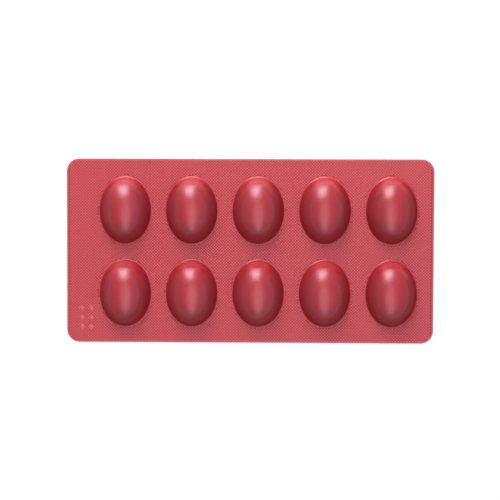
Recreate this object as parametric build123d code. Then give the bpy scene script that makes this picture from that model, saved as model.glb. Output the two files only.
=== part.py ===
from build123d import *

import os
from math import cos, pi, sin

# A sealed push-through blister card: ten oval domed pockets on a flat card, in millimetres.
# The card lies on its lidding foil with the domes up. X runs along the card, Y across it and
# Z up, from the middle of the foil's underside. The formed film, the foil and the tablets are
# sealed together for good and can't be seen into, so the card is one solid.

# Sheet
film_thickness = 0.25
foil_thickness = 0.03
corner_radius = 3.3

# Pockets, measured where the wall would meet the card's face without its fillet
columns = 5
rows = 2
pocket_width = 13.1
pocket_length = 17.1
pocket_depth = 6.0
pocket_squareness = 2.35  # 2 is a plain ellipsoid, and more is fuller at the shoulders
widest_below_face = 0.8  # how far under the face each pocket's full dome is widest
root_fillet = 0.5

# Seal lands between the pockets, and margins round them
land_between_columns = 4.3
land_between_rows = 4.6
wide_end_margin = 8.8  # the end that carries the dots
narrow_end_margin = 4.5
front_margin = 4.4
back_margin = 4.9

# A plain block of raised dots near the wide end's front corner
dot_columns = 2
dot_rows = 3
dot_diameter = 1.3
dot_height = 0.15
dot_pitch = 2.45
dot_inset_x = 3.9
dot_inset_y = 4.0

# Worked out from the above
card_thickness = film_thickness + foil_thickness
column_pitch = pocket_width + land_between_columns
row_pitch = pocket_length + land_between_rows
card_length = wide_end_margin + columns * column_pitch - land_between_columns + narrow_end_margin
card_width = front_margin + rows * row_pitch - land_between_rows + back_margin


def flat_card():
    """The sheet with its round corners."""
    return extrude(RectangleRounded(card_length, card_width, corner_radius), amount=card_thickness)


def full_dome():
    """A round dome with a radius and a height of 1, whose section is a squarish quarter oval."""
    steps = 8
    power = 2 / pocket_squareness
    angles = [pi / 2 * step / steps for step in range(1, steps)]
    between = [(sin(angle) ** power, 0, cos(angle) ** power) for angle in angles]
    top, foot = (0, 0, 1), (1, 0, 0)
    outline = Spline([top, *between, foot], tangents=[(1, 0, 0), (0, 0, -1)])
    section = make_face([outline, Line(foot, (0, 0, 0)), Line((0, 0, 0), top)])
    return revolve(section, Axis.Z)


def pocket_dome():
    """One pocket's outside: the upper part of a full dome, cut off inside the sheet."""
    rise = pocket_depth + widest_below_face
    sunk = widest_below_face / rise
    spread = 1 / (1 - sunk**pocket_squareness) ** (1 / pocket_squareness)
    half_sizes = (pocket_width / 2 * spread, pocket_length / 2 * spread, rise)
    dome = Pos(0, 0, card_thickness - widest_below_face) * scale(full_dome(), by=half_sizes)
    return split(dome, Plane.XY.offset(card_thickness / 2), keep=Keep.TOP)


def pocket_places():
    """The middle of every pocket, row by row from the front."""
    first_x = -card_length / 2 + wide_end_margin + pocket_width / 2
    first_y = -card_width / 2 + front_margin + pocket_length / 2
    return [
        Pos(first_x + column * column_pitch, first_y + row * row_pitch)
        for row in range(rows)
        for column in range(columns)
    ]


def pocket_roots(body):
    """The curves where the domes meet the card's face."""
    on_face = body.edges().filter_by_position(Axis.Z, card_thickness, card_thickness)
    return on_face.filter_by(lambda edge: edge.geom_type not in (GeomType.LINE, GeomType.CIRCLE))


def raised_dot():
    """One dot: the cap of a ball, cut off inside the sheet."""
    half = dot_diameter / 2
    ball_radius = (half**2 + dot_height**2) / (2 * dot_height)
    ball = Pos(0, 0, card_thickness + dot_height - ball_radius) * Sphere(ball_radius)
    return split(ball, Plane.XY.offset(card_thickness / 2), keep=Keep.TOP)


def dot_places():
    """The middle of every dot, row by row from the front."""
    first_x = -card_length / 2 + dot_inset_x
    first_y = -card_width / 2 + dot_inset_y
    return [
        Pos(first_x + column * dot_pitch, first_y + row * dot_pitch)
        for row in range(dot_rows)
        for column in range(dot_columns)
    ]


def blister_card():
    """The whole sealed card."""
    card = flat_card() + [place * pocket_dome() for place in pocket_places()]
    card = fillet(pocket_roots(card), root_fillet)
    return card + [place * raised_dot() for place in dot_places()]


os.makedirs("parts", exist_ok=True)
export_step(blister_card(), "parts/blister_card.step")
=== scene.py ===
import math

import bmesh
import bpy
from mathutils import Euler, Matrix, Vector


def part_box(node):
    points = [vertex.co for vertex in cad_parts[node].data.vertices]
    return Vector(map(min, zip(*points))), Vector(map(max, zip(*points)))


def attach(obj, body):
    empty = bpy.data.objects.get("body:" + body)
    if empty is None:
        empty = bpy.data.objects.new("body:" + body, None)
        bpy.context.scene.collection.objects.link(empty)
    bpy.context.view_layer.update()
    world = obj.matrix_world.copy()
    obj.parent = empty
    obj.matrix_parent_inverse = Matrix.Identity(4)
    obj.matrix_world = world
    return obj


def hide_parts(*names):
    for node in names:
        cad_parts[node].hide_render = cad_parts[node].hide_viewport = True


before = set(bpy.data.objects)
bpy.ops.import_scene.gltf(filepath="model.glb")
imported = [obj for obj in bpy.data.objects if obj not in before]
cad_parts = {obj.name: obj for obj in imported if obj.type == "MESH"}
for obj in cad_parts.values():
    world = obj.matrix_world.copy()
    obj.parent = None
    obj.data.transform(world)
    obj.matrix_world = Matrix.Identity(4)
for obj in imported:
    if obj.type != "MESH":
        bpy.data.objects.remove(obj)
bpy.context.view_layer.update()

# A sealed push-through card of tablets. Sizes are in metres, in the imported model's own frame.
mm = 0.001
cardLow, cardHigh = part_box("blister_card")


# One output socket of a tree. Its operators add Math nodes, so a formula reads as a formula.
class Wire:
    def __init__(self, bench, socket):
        self.bench, self.socket = bench, socket

    def op(self, operation, *others):
        return self.bench.math(operation, self, *others)

    def pick(self, name):
        return Wire(self.bench, self.socket.node.outputs[name])

    def __add__(self, other):
        return self.op("ADD", other)

    def __sub__(self, other):
        return self.op("SUBTRACT", other)

    def __mul__(self, other):
        return self.op("MULTIPLY", other)

    def __truediv__(self, other):
        return self.op("DIVIDE", other)

    def __pow__(self, other):
        return self.op("POWER", other)

    def __gt__(self, other):
        return self.op("GREATER_THAN", other)

    def __lt__(self, other):
        return self.op("LESS_THAN", other)

    def __neg__(self):
        return self.op("MULTIPLY", -1.0)

    def __abs__(self):
        return self.op("ABSOLUTE")

    def __rsub__(self, other):
        return self.bench.math("SUBTRACT", other, self)

    def __rtruediv__(self, other):
        return self.bench.math("DIVIDE", other, self)

    __radd__ = __add__
    __rmul__ = __mul__


# Adds nodes to one tree. Settings come before sockets, because some settings change the sockets.
class Bench:
    def __init__(self, tree):
        self.tree = tree

    def add(self, kind, settings=None, sockets=None, output=0):
        node = self.tree.nodes.new(kind)
        for name, value in (settings or {}).items():
            setattr(node, name, value)
        for name, value in (sockets or {}).items():
            self.plug(value, node.inputs[name])
        return Wire(self, node.outputs[output]) if node.outputs else None

    def plug(self, value, socket):
        if isinstance(value, (list, tuple)) and value and isinstance(value[0], Wire):
            for wire in value:
                self.tree.links.new(wire.socket, socket)
        elif isinstance(value, Wire):
            self.tree.links.new(value.socket, socket)
        else:
            socket.default_value = value

    def math(self, operation, *values):
        return self.add("ShaderNodeMath", {"operation": operation}, dict(enumerate(values)))

    def least(self, *values):
        return self.math("MINIMUM", *values)

    def most(self, *values):
        return self.math("MAXIMUM", *values)

    def length(self, x, y):
        return self.math("SQRT", x * x + y * y)

    def ease(self, value, low, high):
        settings = {"interpolation_type": "SMOOTHSTEP"}
        return self.add("ShaderNodeMapRange", settings, {"Value": value, "From Min": low, "From Max": high})

    def split(self, vector):
        parts = self.add("ShaderNodeSeparateXYZ", None, {0: vector})
        return parts.pick("X"), parts.pick("Y"), parts.pick("Z")

    def mixColour(self, share, first, second):
        return self.add("ShaderNodeMix", {"data_type": "RGBA"}, {0: share, 6: first, 7: second}, output=2)

    def noise(self, place, scale, detail):
        return self.add("ShaderNodeTexNoise", None, {"Vector": place, "Scale": scale, "Detail": detail})


# The card's plan, shared by the film, the foil and their finishes
card = {
    "cornerRadius": 3.3 * mm,
    "columns": 5,
    "rows": 2,
    "pocketWidth": 13.1 * mm,
    "pocketLength": 17.1 * mm,
    "columnPitch": 17.4 * mm,
    "rowPitch": 21.7 * mm,
    "wideEndMargin": 8.8 * mm,
    "frontMargin": 4.4 * mm,
}
card["halfLength"] = (cardHigh.x - cardLow.x) / 2
card["halfWidth"] = (cardHigh.y - cardLow.y) / 2
card["firstX"] = cardLow.x + card["wideEndMargin"] + card["pocketWidth"] / 2
card["firstY"] = cardLow.y + card["frontMargin"] + card["pocketLength"] / 2


def pocketMiddles():
    return [
        Vector((card["firstX"] + column * card["columnPitch"], card["firstY"] + row * card["rowPitch"], 0))
        for row in range(card["rows"])
        for column in range(card["columns"])
    ]


# Distance inwards from the card's edge, as nodes
def distanceFromEdge(bench, x, y):
    radius = card["cornerRadius"]
    across = abs(x) - (card["halfLength"] - radius)
    along = abs(y) - (card["halfWidth"] - radius)
    outside = bench.length(bench.most(across, 0.0), bench.most(along, 0.0))
    inside = bench.least(bench.most(across, along), 0.0)
    return radius - outside - inside


# Place measured from the nearest pocket's middle, as nodes
def fromPocketMiddle(bench, x, y):
    def folded(value, first, pitch, count):
        steps = bench.math("ROUND", (value - first) / pitch)
        nearest = bench.least(bench.most(steps, 0.0), count - 1.0)
        return value - first - nearest * pitch

    return (folded(x, card["firstX"], card["columnPitch"], card["columns"]),
            folded(y, card["firstY"], card["rowPitch"], card["rows"]))


# Distance outwards from the nearest pocket's oval, as nodes
def distanceFromPockets(bench, x, y):
    halfWide, halfLong = card["pocketWidth"] / 2, card["pocketLength"] / 2
    px, py = fromPocketMiddle(bench, x, y)
    share = bench.length(px / halfWide, py / halfLong)
    slope = bench.length(px / halfWide ** 2, py / halfLong ** 2)
    return share * (share - 1.0) / bench.most(slope, 1.0)


# Points round a rectangle with round corners, anticlockwise
def roundedOutline(inset, height, cornerSteps=14):
    radius = card["cornerRadius"] - inset
    points = []
    for quarter, (signX, signY) in enumerate([(1, 1), (-1, 1), (-1, -1), (1, -1)]):
        middle = Vector((signX * (card["halfLength"] - card["cornerRadius"]),
                         signY * (card["halfWidth"] - card["cornerRadius"]), height))
        for step in range(cornerSteps + 1):
            turn = math.radians(90 * (quarter + step / cornerSteps))
            points.append(middle + radius * Vector((math.cos(turn), math.sin(turn), 0)))
    return points


def ringOfVerts(mesh, points):
    return [mesh.verts.new(point) for point in points]


def bridgeRings(mesh, outer, inner):
    count = len(outer)
    for here in range(count):
        after = (here + 1) % count
        mesh.faces.new((outer[here], outer[after], inner[after], inner[here]))


def fillBetween(mesh, loops):
    edges = []
    for loop in loops:
        pairs = zip(loop, loop[1:] + loop[:1])
        edges += [mesh.edges.get(pair) or mesh.edges.new(pair) for pair in pairs]
    bmesh.ops.triangle_fill(mesh, edges=edges, use_beauty=True, use_dissolve=False)


def finishMesh(mesh, name):
    bmesh.ops.recalc_face_normals(mesh, faces=mesh.faces)
    data = bpy.data.meshes.new(name)
    mesh.to_mesh(data)
    mesh.free()
    piece = bpy.data.objects.new(name, data)
    bpy.context.scene.collection.objects.link(piece)
    return piece


# The seal pattern: small raised diamonds over a sheet. Each is a closed shell sunk a little into it.
knurl = {
    "Pitch": 0.545 * mm,
    "Base": 0.54 * mm,
    "Top": 0.26 * mm,
    "Height": 0.05 * mm,
    "Sink": 0.01 * mm,
    "Pocket Collar": 0.56 * mm,
    "Edge Collar": 0.20 * mm,
    "End Collar": 0.35 * mm,
}

# A plain block of raised dots near the wide end's front corner
dots = {
    "Dot Columns": 2,
    "Dot Rows": 3,
    "Dot Width": 1.3 * mm,
    "Dot Height": 0.12 * mm,
    "Dot Pitch": 2.45 * mm,
    "Dot Inset X": 3.9 * mm,
    "Dot Inset Y": 4.0 * mm,
}


# Low round caps on a small grid, as nodes
def raisedDots(bench, size):
    grid = bench.add("GeometryNodeMeshGrid", None, {
        "Size X": (size["Dot Columns"] - 1.0) * size["Dot Pitch"],
        "Size Y": (size["Dot Rows"] - 1.0) * size["Dot Pitch"],
        "Vertices X": size["Dot Columns"],
        "Vertices Y": size["Dot Rows"],
    })
    across = (size["Dot Columns"] - 1.0) * size["Dot Pitch"] / 2.0 + size["Dot Inset X"]
    along = (size["Dot Rows"] - 1.0) * size["Dot Pitch"] / 2.0 + size["Dot Inset Y"]
    middle = bench.add("ShaderNodeCombineXYZ", None, {
        "X": across - card["halfLength"],
        "Y": along - card["halfWidth"],
        "Z": size["Face Level"],
    })
    places = bench.add("GeometryNodeTransform", None, {"Geometry": grid, "Translation": middle})
    ball = bench.add("GeometryNodeMeshUVSphere", None,
                     {"Segments": 28, "Rings": 12, "Radius": size["Dot Width"] / 2.0})
    flat = bench.add("ShaderNodeCombineXYZ", None,
                     {"X": 1.0, "Y": 1.0, "Z": size["Dot Height"] * 2.0 / size["Dot Width"]})
    cap = bench.add("GeometryNodeTransform", None, {"Geometry": ball, "Scale": flat})
    many = bench.add("GeometryNodeInstanceOnPoints", None, {"Points": places, "Instance": cap})
    return bench.add("GeometryNodeRealizeInstances", None, {"Geometry": many})


def knurlTree(material, facing, withDots):
    tree = bpy.data.node_groups.new("sealKnurl", "GeometryNodeTree")
    bench = Bench(tree)
    names = [*knurl, *dots, "Face Level", "Sharp Angle"]
    tree.interface.new_socket("Sheet", in_out="INPUT", socket_type="NodeSocketGeometry")
    for name in names:
        tree.interface.new_socket(name, in_out="INPUT", socket_type="NodeSocketFloat")
    tree.interface.new_socket("Sheet", in_out="OUTPUT", socket_type="NodeSocketGeometry")
    given = bench.add("NodeGroupInput")
    size = {name: given.pick(name) for name in names}

    # a square lattice turned by 45 degrees, so its rows run diagonally over the card
    reach = (card["halfLength"] + card["halfWidth"]) / math.sqrt(2)
    steps = bench.math("CEIL", reach / size["Pitch"])
    count = steps * 2.0 + 1.0
    span = steps * 2.0 * size["Pitch"]
    lattice = bench.add("GeometryNodeMeshGrid", None,
                        {"Size X": span, "Size Y": span, "Vertices X": count, "Vertices Y": count})
    level = bench.add("ShaderNodeCombineXYZ", None, {"Z": size["Face Level"]})
    turned = bench.add("GeometryNodeTransform", None,
                       {"Geometry": lattice, "Translation": level, "Rotation": (0, 0, math.radians(45))})

    x, y, z = bench.split(bench.add("GeometryNodeInputPosition"))
    half = size["Base"] / 2.0
    onPocket = distanceFromPockets(bench, x, y) < size["Pocket Collar"]
    onEdge = distanceFromEdge(bench, x, y) < size["Edge Collar"] + half
    onEnd = card["halfLength"] - abs(x) < size["End Collar"] + half
    bare = bench.most(bench.most(onPocket, onEdge), onEnd) > 0.5
    kept = bench.add("GeometryNodeDeleteGeometry", {"domain": "POINT"},
                     {"Geometry": turned, "Selection": bare})

    # one diamond: a low four-sided cone with a flat top, sunk a little into the sheet
    widen = math.sqrt(0.5)
    slope = (size["Base"] - size["Top"]) / size["Height"]
    foot = size["Base"] + slope * size["Sink"]
    depth = size["Height"] + size["Sink"]
    cone = bench.add("GeometryNodeMeshCone", {"fill_type": "NGON"},
                     {"Vertices": 4, "Radius Top": size["Top"] * widen, "Radius Bottom": foot * widen,
                      "Depth": depth})
    drop = bench.add("ShaderNodeCombineXYZ", None, {"Z": -size["Sink"]})
    diamond = bench.add("GeometryNodeTransform", None, {"Geometry": cone, "Translation": drop})
    if facing < 0:
        diamond = bench.add("GeometryNodeTransform", None,
                            {"Geometry": diamond, "Rotation": (math.pi, 0, 0)})
    many = bench.add("GeometryNodeInstanceOnPoints", None, {"Points": kept, "Instance": diamond})
    added = [given.pick("Sheet"), bench.add("GeometryNodeRealizeInstances", None, {"Geometry": many})]
    if withDots:
        added.append(raisedDots(bench, size))
    joined = bench.add("GeometryNodeJoinGeometry", None, {"Geometry": added})

    smooth = bench.add("GeometryNodeSetShadeSmooth", {"domain": "FACE"},
                       {"Geometry": joined, "Shade Smooth": True})
    gentle = bench.add("GeometryNodeInputMeshEdgeAngle") < size["Sharp Angle"]
    creased = bench.add("GeometryNodeSetShadeSmooth", {"domain": "EDGE"},
                        {"Geometry": smooth, "Shade Smooth": gentle})
    done = bench.add("GeometryNodeSetMaterial", None, {"Geometry": creased, "Material": material})
    bench.add("NodeGroupOutput", None, {"Sheet": done})
    return tree


# Runs a tree on a piece, keeps the result as a plain mesh and drops the modifier
def applyTree(piece, tree, values):
    modifier = piece.modifiers.new(tree.name, "NODES")
    modifier.node_group = tree
    for item in tree.interface.items_tree:
        if item.in_out == "INPUT" and item.name in values:
            modifier[item.identifier] = values[item.name]
    evaluated = piece.evaluated_get(bpy.context.evaluated_depsgraph_get())
    made = bpy.data.meshes.new_from_object(evaluated)
    piece.modifiers.remove(modifier)
    piece.data = made
    made.name = piece.name


film = {
    "pocketDepth": 6.0 * mm,
    "widestBelowFace": 0.8 * mm,
    "squareness": 2.35,    # 2 would be an ellipsoid; more has a flatter top and a steeper wall
    "rootFillet": 0.5 * mm,
    "wallStart": 0.55 * mm,    # height over the face at which the wall bends out to the card
    "edgeRound": 0.10 * mm,
    "underside": 0.08 * mm,
    "around": 80,
    "domeRings": 20,
    "rootSteps": 6,
    "edgeSteps": 4,
}
faceLevel = cardHigh.z - film["pocketDepth"]
domeRise = film["pocketDepth"] + film["widestBelowFace"]


# On a dome's section, one share from the other: of its width at a share of its rise, or the reverse
def domeSection(share):
    return (1 - share ** film["squareness"]) ** (1 / film["squareness"])


widestSpread = 1 / domeSection(film["widestBelowFace"] / domeRise)


# The oval where a pocket's wall would meet the face, moved outwards by some distance
def pocketOval(turn, outwards=0.0):
    halfWide, halfLong = card["pocketWidth"] / 2, card["pocketLength"] / 2
    point = Vector((halfWide * math.cos(turn), halfLong * math.sin(turn), faceLevel))
    away = Vector((math.cos(turn) / halfWide, math.sin(turn) / halfLong, 0)).normalized()
    return point + outwards * away


# A point on the dome, which is widest a little under the face
def domePoint(turn, share):
    height = faceLevel - film["widestBelowFace"] + domeRise * domeSection(share)
    wide = card["pocketWidth"] / 2 * widestSpread * share
    long = card["pocketLength"] / 2 * widestSpread * share
    return Vector((wide * math.cos(turn), long * math.sin(turn), height))


# The pocket's rings from its rim on the card's face up to the last one round the top
def pocketRings(middle):
    widest = domeSection((film["wallStart"] + film["widestBelowFace"]) / domeRise)
    turns = [math.tau * step / film["around"] for step in range(film["around"])]
    rings = []
    for step in range(film["rootSteps"]):
        share = step / film["rootSteps"]
        ring = []
        for turn in turns:
            rim, corner = pocketOval(turn, film["rootFillet"]), pocketOval(turn)
            wall = domePoint(turn, widest)
            ring.append(rim.lerp(corner, share).lerp(corner.lerp(wall, share), share) + middle)
        rings.append(ring)
    for step in range(film["domeRings"]):
        share = math.sin(math.asin(widest) * (1 - step / film["domeRings"]))
        rings.append([domePoint(turn, share) + middle for turn in turns])
    return rings


def addPocket(mesh, middle):
    rings = [ringOfVerts(mesh, ring) for ring in pocketRings(middle)]
    for outer, inner in zip(rings, rings[1:]):
        bridgeRings(mesh, outer, inner)
    top = mesh.verts.new(middle + Vector((0, 0, cardHigh.z)))
    last = rings[-1]
    for here, vert in enumerate(last):
        mesh.faces.new((vert, last[(here + 1) % len(last)], top))
    return rings[0]


# The card's edge, from the face round and down to the underside
def edgeLoops(roundness, top, bottom, steps):
    loops = []
    for step in range(steps + 1):
        turn = math.radians(90 * step / steps)
        loops.append((roundness * (1 - math.sin(turn)), top - roundness * (1 - math.cos(turn))))
    return loops + [(0, bottom)]


def plainFilm():
    mesh = bmesh.new()
    levels = edgeLoops(film["edgeRound"], faceLevel, film["underside"], film["edgeSteps"])
    loops = [ringOfVerts(mesh, roundedOutline(inset, height)) for inset, height in levels]
    for upper, lower in zip(loops, loops[1:]):
        bridgeRings(mesh, lower, upper)
    rims = [addPocket(mesh, middle) for middle in pocketMiddles()]
    fillBetween(mesh, [loops[0], *rims])
    fillBetween(mesh, [loops[-1]])
    return finishMesh(mesh, "formed_film")


foil = {
    "thickness": 0.03 * mm,
    "knurlHeight": 0.05 * mm,
    "inset": 0.02 * mm,
}


def plainFoil():
    mesh = bmesh.new()
    lower = ringOfVerts(mesh, roundedOutline(foil["inset"], foil["knurlHeight"]))
    upper = ringOfVerts(mesh, roundedOutline(foil["inset"], foil["knurlHeight"] + foil["thickness"]))
    bridgeRings(mesh, lower, upper)
    fillBetween(mesh, [lower])
    fillBetween(mesh, [upper])
    return finishMesh(mesh, "lidding_foil")


redFilm = {
    "plain": (0.52, 0.038, 0.048, 1),
    # painted light and shade on the seal pattern: its diamond tops are lighter and its grooves darker
    "ridge": (0.61, 0.060, 0.070, 1),
    "groove": (0.385, 0.024, 0.032, 1),    # painted shade between the seal pattern's diamonds
    "grooveDullness": 0.60,    # and the grooves are less glossy
    "drawn": (0.42, 0.008, 0.014, 1),
    "wall": (0.290, 0.026, 0.033, 1),    # painted shade: darker and browner on the steep walls, except on each back wall, which faces the key
    "backWallPaintedReflection": (0.56, 0.046, 0.058, 1),    # painted reflection: the foot of each pocket's back wall, facing the key, is paler
    "paleFrom": math.tan(math.radians(42)),
    "paleTo": math.tan(math.radians(60)),
    "deepFrom": math.tan(math.radians(6)),
    "deepTo": math.tan(math.radians(32)),
    "cutEdge": (0.50, 0.085, 0.10, 1),
    "edgeWidth": 0.8 * mm,
    "roughness": 0.33,
    "mattRoughness": 0.9,
    "dullFrom": math.tan(math.radians(27)),
    "dullTo": math.tan(math.radians(41)),
    "dullness": 0.85,    # the steep walls lose most of their gloss in forming
    "backFrom": 0.35,    # how far a wall faces the back, where 1 is squarely
    "backTo": 0.95,
    "backKeeps": 0.8,    # the share of painted wall shade and of dulling that each pocket's back wall, facing the key, is spared
    "paleBackFrom": 0.70,
    "paleBackTo": 1.0,
    "domeFrom": 0.3 * mm,    # height over the face from which the dome's finish is full
    "rimFrom": 0.15 * mm,    # distances outwards from the pocket's oval
    "rimTo": 0.5 * mm,
    "patternFrom": 0.35 * mm,
    "patternTo": 0.6 * mm,
    "patternEdgeFrom": 0.2 * mm,    # distances inwards from the card's edge
    "patternEdgeTo": 0.5 * mm,
    "cloudScale": 60.0,
    "cloudShade": 0.10,
    "cloudRoughness": 0.05,
    "grainScale": 2500.0,
    "grainHeight": 0.02 * mm,
    "grainStrength": 0.03,
    "edgeShare": 0.8,
    "ior": 1.85,
    "tint": (1.0, 0.84, 0.95, 1),
}


def newMaterial(name):
    material = bpy.data.materials.new(name)
    material.use_nodes = True
    material.node_tree.nodes.clear()
    return material, Bench(material.node_tree)


# How steep the dome's wall is, as the tangent of its slope, and how far it faces the back, as nodes
def domeLean(bench, x, y, height):
    px, py = fromPocketMiddle(bench, x, y)
    halfWide = card["pocketWidth"] / 2 * widestSpread
    halfLong = card["pocketLength"] / 2 * widestSpread
    lean = bench.length(px / halfWide ** 2, py / halfLong ** 2)
    share = bench.most(bench.length(px / halfWide, py / halfLong), 0.001)
    upwards = bench.most((height + film["widestBelowFace"]) / domeRise, 0.01)
    power = film["squareness"]
    steepness = lean * domeRise * share ** (power - 2) / upwards ** (power - 1)
    return steepness, py / halfLong ** 2 / bench.most(lean, 0.001)


def redFilmMaterial():
    material, bench = newMaterial("redFilm")
    place = bench.add("ShaderNodeTexCoord", output="Object")
    x, y, z = bench.split(place)
    height = z - faceLevel
    inwards = distanceFromEdge(bench, x, y)
    outwards = distanceFromPockets(bench, x, y)
    steepness, towardsBack = domeLean(bench, x, y, height)
    atBack = bench.ease(towardsBack, redFilm["backFrom"], redFilm["backTo"])
    changed = 1.0 - atBack * redFilm["backKeeps"]
    onDome = bench.ease(height, 0.0, redFilm["domeFrom"]) * (outwards < film["rootFillet"])
    # painted shade on the steep walls, spared on the back walls that face the key
    paintedWallShade = bench.ease(steepness, redFilm["deepFrom"], redFilm["deepTo"]) * changed
    # painted reflection at the foot of each back wall, which faces the key
    paintedBackReflection = bench.ease(steepness, redFilm["paleFrom"], redFilm["paleTo"])
    paintedBackReflection = paintedBackReflection * bench.ease(towardsBack, redFilm["paleBackFrom"], redFilm["paleBackTo"])
    rim = 1.0 - bench.ease(outwards, redFilm["rimFrom"], redFilm["rimTo"])
    steep = bench.ease(steepness, redFilm["dullFrom"], redFilm["dullTo"])
    dull = bench.most(onDome, rim) * steep * changed * redFilm["dullness"]

    # the seal pattern's ridges and grooves, kept off the bare rims, with painted light on the ridges and
    # painted shade in the grooves
    offPocket = bench.ease(outwards, redFilm["patternFrom"], redFilm["patternTo"])
    offEdge = bench.ease(inwards, redFilm["patternEdgeFrom"], redFilm["patternEdgeTo"])
    patterned = offPocket * offEdge
    ridge = bench.ease(height, 0.0, knurl["Height"])
    knurlPaintedLightAndShade = bench.mixColour(ridge, redFilm["groove"], redFilm["ridge"])
    dull = bench.most(dull, patterned * (1.0 - ridge) * redFilm["grooveDullness"])
    flat = bench.mixColour(patterned, redFilm["plain"], knurlPaintedLightAndShade)
    # painted shade on the steep walls, then a painted reflection at the foot of the back walls
    domes = bench.mixColour(paintedWallShade, redFilm["drawn"], redFilm["wall"])
    domes = bench.mixColour(paintedBackReflection, domes, redFilm["backWallPaintedReflection"])
    cloudy = bench.noise(place, redFilm["cloudScale"], 3.0).pick("Fac")
    grain = bench.noise(place, redFilm["grainScale"], 2.0).pick("Fac")
    body = bench.mixColour(onDome, flat, domes)
    body = bench.mixColour(cloudy * redFilm["cloudShade"], body, (0.0, 0.0, 0.0, 1))
    edgeShare = 1.0 - bench.ease(inwards, 0.0, redFilm["edgeWidth"])
    colour = bench.mixColour(edgeShare * redFilm["edgeShare"], body, redFilm["cutEdge"])
    bump = bench.add("ShaderNodeBump", None, {
        "Strength": redFilm["grainStrength"],
        "Distance": redFilm["grainHeight"],
        "Height": grain,
    })
    glossy = bench.add("ShaderNodeBsdfPrincipled", None, {
        "Base Color": colour,
        "Roughness": redFilm["roughness"] + (cloudy - 0.5) * redFilm["cloudRoughness"],
        "IOR": redFilm["ior"],
        "Specular Tint": redFilm["tint"],
        "Normal": bump,
    })
    matt = bench.add("ShaderNodeBsdfPrincipled", None, {
        "Base Color": colour,
        "Roughness": redFilm["mattRoughness"],
        "Specular IOR Level": 0.0,
        "Normal": bump,
    })
    shader = bench.add("ShaderNodeMixShader", None, {0: dull, 1: glossy, 2: matt})
    bench.add("ShaderNodeOutputMaterial", None, {"Surface": shader})
    return material


def foilMaterial():
    material, bench = newMaterial("bareFoil")
    place = bench.add("ShaderNodeTexCoord", output="Object")
    cloudy = bench.noise(place, 90.0, 3.0).pick("Fac")
    colour = bench.mixColour(cloudy, (0.78, 0.78, 0.80, 1), (0.70, 0.70, 0.72, 1))
    shader = bench.add("ShaderNodeBsdfPrincipled", None, {
        "Base Color": colour,
        "Metallic": 1.0,
        "Roughness": 0.30 + cloudy * 0.12,
    })
    bench.add("ShaderNodeOutputMaterial", None, {"Surface": shader})
    return material


sharpAngle = math.radians(7)
redFilmFinish = redFilmMaterial()
bareFoilFinish = foilMaterial()

filmPiece = plainFilm()
applyTree(filmPiece, knurlTree(redFilmFinish, 1, True),
          {**knurl, **dots, "Face Level": faceLevel, "Sharp Angle": sharpAngle})
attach(filmPiece, "root")
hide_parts("blister_card")
print("formed film:", len(filmPiece.data.polygons), "faces")

foilPiece = plainFoil()
foilKnurl = {**knurl, "Height": foil["knurlHeight"], "Face Level": foil["knurlHeight"],
             "Sharp Angle": sharpAngle}
applyTree(foilPiece, knurlTree(bareFoilFinish, -1, False), foilKnurl)
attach(foilPiece, "root")
print("lidding foil:", len(foilPiece.data.polygons), "faces")


studio = {
    "floorHalf": 6.0,
    "floorColour": (0.95, 0.95, 0.95, 1),
    "floorBounce": (0.10, 0.10, 0.10, 1),    # what other surfaces' diffuse light gets back from it
    "farFrom": 0.14,    # past this distance the floor is a plain pale backdrop
    "farTo": 0.30,
    "overheadHeight": 0.6,
    "overheadForward": 0.20,
    "overheadSize": (0.34, 1.22),
    "overheadLevel": 1.65,
    "overheadSoftFrom": 0.6,    # share of its half size where its glow starts to fall off
    "fillHeight": 0.7,    # the fill lights only diffuse surfaces and isn't seen in reflections
    "fillSize": (2.2, 2.2),
    "fillLevel": 0.60,
    "keyDistance": 0.62,
    "keyElevation": math.radians(35),
    "keyAzimuth": math.radians(10.5),
    "keySize": (1.24, 0.72),
    "keyLevel": 7.4,
    "keyFoot": 0.38,    # half widths of its fan, as shares of its width
    "keyHead": 0.12,
    "keySoftFrom": 0.45,
    "keyFootGlow": 0.42,
    "keyPeak": 0.56,
    "keyFade": 0.12,    # from its brightest level up to where it starts to fade out
    "keyCurve": 2.0,
    "worldDark": (0.16, 0.16, 0.17, 1),
    "worldSide": (0.30, 0.28, 0.34, 1),
    "sideFrom": -0.6,    # along X, where 1 is squarely to the card's narrow end
    "sideTo": 0.9,
    "backdrop": (1.0, 1.0, 1.0, 1),    # the far floor, and the world up to the height below
    "backdropTop": (math.sin(math.radians(9.5)), math.sin(math.radians(12.5))),
}


def floorPiece():
    mesh = bmesh.new()
    half = studio["floorHalf"]
    corners = [(-half, -half, 0), (half, -half, 0), (half, half, 0), (-half, half, 0)]
    mesh.faces.new(ringOfVerts(mesh, corners))
    floor = finishMesh(mesh, "floor")
    material, bench = newMaterial("paleFloor")
    x, y, z = bench.split(bench.add("ShaderNodeTexCoord", output="Object"))
    path = bench.add("ShaderNodeLightPath")
    seen = bench.most(path.pick("Is Camera Ray"), path.pick("Is Glossy Ray"))
    seen = bench.most(seen, path.pick("Is Transmission Ray"))
    colour = bench.mixColour(seen, studio["floorBounce"], studio["floorColour"])
    near = bench.add("ShaderNodeBsdfDiffuse", None, {"Color": colour})
    far = bench.add("ShaderNodeEmission", None, {"Color": studio["backdrop"], "Strength": seen})
    share = bench.ease(bench.length(x, y), studio["farFrom"], studio["farTo"])
    shader = bench.add("ShaderNodeMixShader", None, {0: share, 1: near, 2: far})
    bench.add("ShaderNodeOutputMaterial", None, {"Surface": shader})
    floor.data.materials.append(material)
    return floor


# An oval glow that is soft at its rim
def roundGlow(bench, u, v):
    outwards = bench.length(u - 0.5, v - 0.5) * 2.0
    return 1.0 - bench.ease(outwards, studio["overheadSoftFrom"], 1.0)


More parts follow.
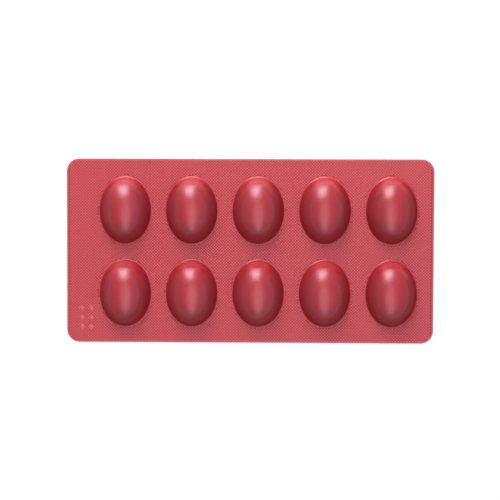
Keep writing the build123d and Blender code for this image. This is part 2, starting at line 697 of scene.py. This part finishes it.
# A fan of light, wide and dim at its foot and narrow and bright at its head
def fanGlow(bench, u, v):
    half = studio["keyHead"] + (studio["keyFoot"] - studio["keyHead"]) * (1.0 - v) ** studio["keyCurve"]
    side = 1.0 - bench.ease(abs(u - 0.5) / half, studio["keySoftFrom"], 1.0)
    rise = studio["keyFootGlow"] + (1.0 - studio["keyFootGlow"]) * bench.ease(v, 0.0, studio["keyPeak"])
    return side * rise * (1.0 - bench.ease(v, studio["keyPeak"] + studio["keyFade"], 1.0))


# A flat lamp that faces the card's middle. Its level is how bright it looks, where 1 is white.
def softbox(name, place, shape, size, level, glow, glossy=True):
    lamp = bpy.data.lights.new(name, "AREA")
    lamp.shape = shape
    lamp.size, lamp.size_y = size
    area = size[0] * size[1] * (math.pi / 4 if shape == "ELLIPSE" else 1)
    lamp.energy = level * math.pi * area
    lamp.use_nodes = True
    lamp.node_tree.nodes.clear()
    bench = Bench(lamp.node_tree)
    u, v, w = bench.split(bench.add("ShaderNodeNewGeometry", output="Parametric"))
    shader = bench.add("ShaderNodeEmission", None, {"Strength": glow(bench, u, v)})
    bench.add("ShaderNodeOutputLight", None, {"Surface": shader})
    box = bpy.data.objects.new(name, lamp)
    box.location = place
    box.rotation_euler = place.to_track_quat("Z", "Y").to_euler()
    box.visible_camera = False
    box.visible_glossy = glossy
    bpy.context.scene.collection.objects.link(box)
    return box


def lightStudio():
    overhead = Vector((0, -studio["overheadForward"], studio["overheadHeight"]))
    softbox("overhead", overhead, "ELLIPSE", studio["overheadSize"],
            studio["overheadLevel"], roundGlow)
    softbox("fill", Vector((0, 0, studio["fillHeight"])), "ELLIPSE", studio["fillSize"],
            studio["fillLevel"], roundGlow, glossy=False)
    flat = studio["keyDistance"] * math.cos(studio["keyElevation"])
    high = studio["keyDistance"] * math.sin(studio["keyElevation"])
    key = Vector((-flat * math.sin(studio["keyAzimuth"]), flat * math.cos(studio["keyAzimuth"]), high))
    softbox("key", key, "RECTANGLE", studio["keySize"], studio["keyLevel"], fanGlow)
    world = bpy.data.worlds.new("studioWorld")
    bpy.context.scene.world = world
    world.use_nodes = True
    world.node_tree.nodes.clear()
    bench = Bench(world.node_tree)
    x, y, z = bench.split(bench.add("ShaderNodeTexCoord", output="Generated"))
    dark = bench.mixColour(bench.ease(x, studio["sideFrom"], studio["sideTo"]), studio["worldDark"], studio["worldSide"])
    colour = bench.mixColour(bench.ease(z, *studio["backdropTop"]), studio["backdrop"], dark)
    background = bench.add("ShaderNodeBackground", None, {"Color": colour})
    bench.add("ShaderNodeOutputWorld", None, {"Surface": background})


view = {
    "lens": 100.0,
    "distance": 0.3637,
    "tilt": (-2.593, 1.133, 0.193),    # degrees about X, Y and Z from straight down
    "shiftX": 0.006 * mm,
    "shiftY": 0.263 * mm,
}


def placeCamera():
    lens = bpy.data.cameras.new("camera")
    lens.lens = view["lens"]
    lens.clip_start, lens.clip_end = 0.01, 20
    camera = bpy.data.objects.new("camera", lens)
    turn = Euler([math.radians(angle) for angle in view["tilt"]], "XYZ")
    camera.rotation_euler = turn
    aim = Vector((view["shiftX"], view["shiftY"], 0))
    camera.location = aim + turn.to_matrix() @ Vector((0, 0, view["distance"]))
    bpy.context.scene.collection.objects.link(camera)
    bpy.context.scene.camera = camera


floorPiece()
lightStudio()
placeCamera()
bpy.context.scene.view_settings.view_transform = "Standard"
print("studio ready")
